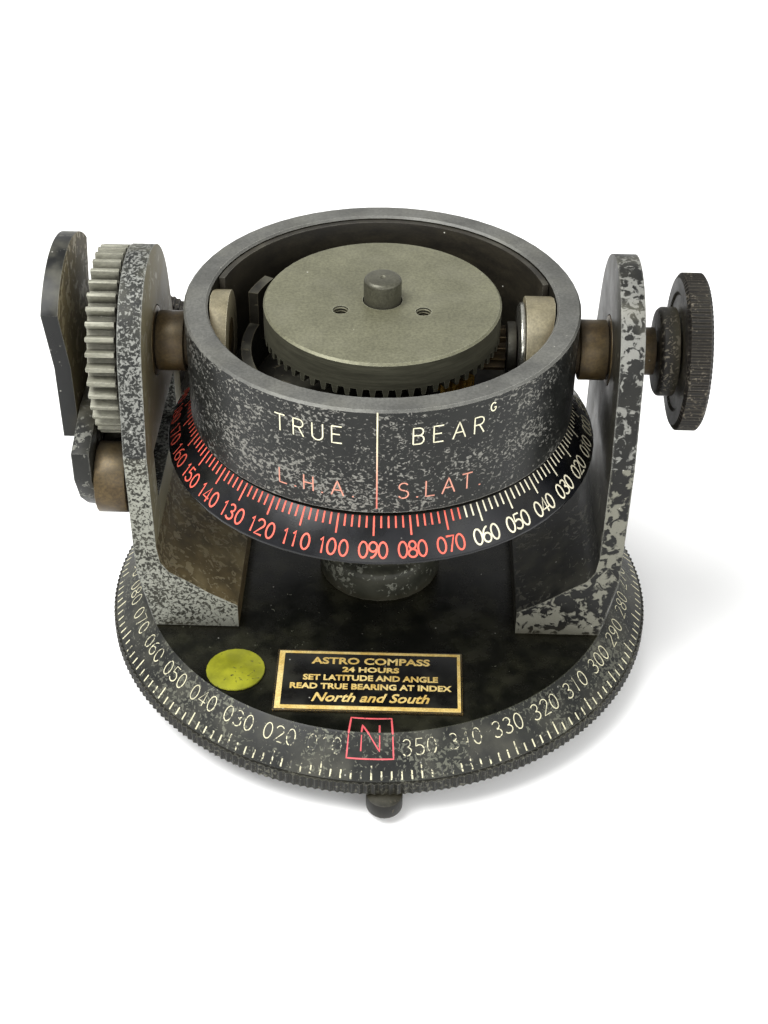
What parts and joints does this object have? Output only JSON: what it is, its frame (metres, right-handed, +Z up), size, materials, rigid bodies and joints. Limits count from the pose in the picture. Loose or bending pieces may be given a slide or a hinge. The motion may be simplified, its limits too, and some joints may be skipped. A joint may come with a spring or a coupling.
{
  "type": "astro compass mount",
  "caption": "Navigator's astro compass mount: a turntable with a bearing scale carries a geared hour-angle drum on trunnions between two uprights.",
  "frame": {"origin": "centre of the flat underside of the base", "axes": "+Z up along the turntable axis, +X along the trunnion axis towards the hour knob, -Y towards the index lines"},
  "size_m": [0.1248, 0.1143, 0.089],
  "materials": {
    "gloss_black": "gloss black paint, worn through at the edges",
    "crackle_black": "black paint rubbed to bare grey metal in flecks",
    "bare_steel": "turned steel",
    "olive_steel": "turned steel, dulled",
    "bronze": "dark aged bronze",
    "brass": "bright brass teeth",
    "bright_steel": "bright ground steel",
    "pale_alloy": "pale grey cast alloy teeth",
    "tan_alloy": "bare tan alloy",
    "nameplate_foil": "black enamel with gold lines",
    "sticker": "yellow-green paper"
  },
  "bodies": {
    "base": {"base_plate": "gloss_black", "base_spindle": "bare_steel", "spindle_nut": "bare_steel"},
    "turntable": {"turntable_plate": "gloss_black", "bearing_boss": "crackle_black", "nameplate": "nameplate_foil", "dot_sticker": "sticker", "upright_left": "crackle_black", "upright_right": "crackle_black", "bush_left": "bronze", "bush_right": "bronze", "worm_bracket": "crackle_black", "gear_guard": "crackle_black", "guard_screw_1": "bare_steel", "guard_screw_2": "bare_steel", "pivot_cylinder": "bronze"},
    "drum": {"drum_housing": "crackle_black", "drum_liner": "crackle_black", "inner_boss_left": "tan_alloy", "inner_boss_right": "tan_alloy", "trunnion_left": "bronze", "trunnion_right": "bronze", "worm_wheel": "pale_alloy", "idler_stud": "bare_steel"},
    "hour_rotor": {"crown_gear": "olive_steel", "hub_pin": "olive_steel", "polar_shaft": "bare_steel", "polar_spur": "brass", "hour_scale_ring": "gloss_black", "retaining_nut": "bare_steel"},
    "hour_drive": {"hour_knob": "crackle_black", "hour_knob_hub": "crackle_black", "drive_shaft": "bare_steel", "drive_pinion": "bronze", "drive_collar": "bright_steel", "spring_washer": "bright_steel"},
    "idler": {"idler_gear": "brass"},
    "latitude_drive": {"latitude_worm": "bare_steel", "worm_shaft": "bare_steel", "latitude_knob": "crackle_black", "latitude_knob_hub": "crackle_black"}
  },
  "joints": [
    {"name": "azimuth_turn", "type": "hinge", "parent": "base", "child": "turntable", "pos_m": [0, 0, 0.01], "axis": [0, 0, 1], "continuous": true},
    {"name": "latitude_tilt", "type": "hinge", "parent": "turntable", "child": "drum", "pos_m": [0, 0, 0.069], "axis": [1, 0, 0], "range_deg": [-90, 0]},
    {"name": "worm_spin", "type": "hinge", "parent": "turntable", "child": "latitude_drive", "pos_m": [-0.05015, 0, 0.04765], "axis": [0, 1, 0], "range_deg": [0, 3600]},
    {"name": "hour_angle", "type": "hinge", "parent": "drum", "child": "hour_rotor", "pos_m": [0, 0, 0.069], "axis": [0, 0, 1], "continuous": true},
    {"name": "hour_knob_spin", "type": "hinge", "parent": "drum", "child": "hour_drive", "pos_m": [0.03, 0, 0.069], "axis": [1, 0, 0], "continuous": true},
    {"name": "idler_spin", "type": "hinge", "parent": "drum", "child": "idler", "pos_m": [0.01312, -0.0121, 0.07], "axis": [0, 0, 1], "continuous": true}
  ],
  "couplings": [
    {"joint": "worm_spin", "follows": "latitude_tilt", "ratio": -40},
    {"joint": "hour_knob_spin", "follows": "hour_angle", "ratio": -5},
    {"joint": "idler_spin", "follows": "hour_angle", "ratio": -3.9167}
  ]
}
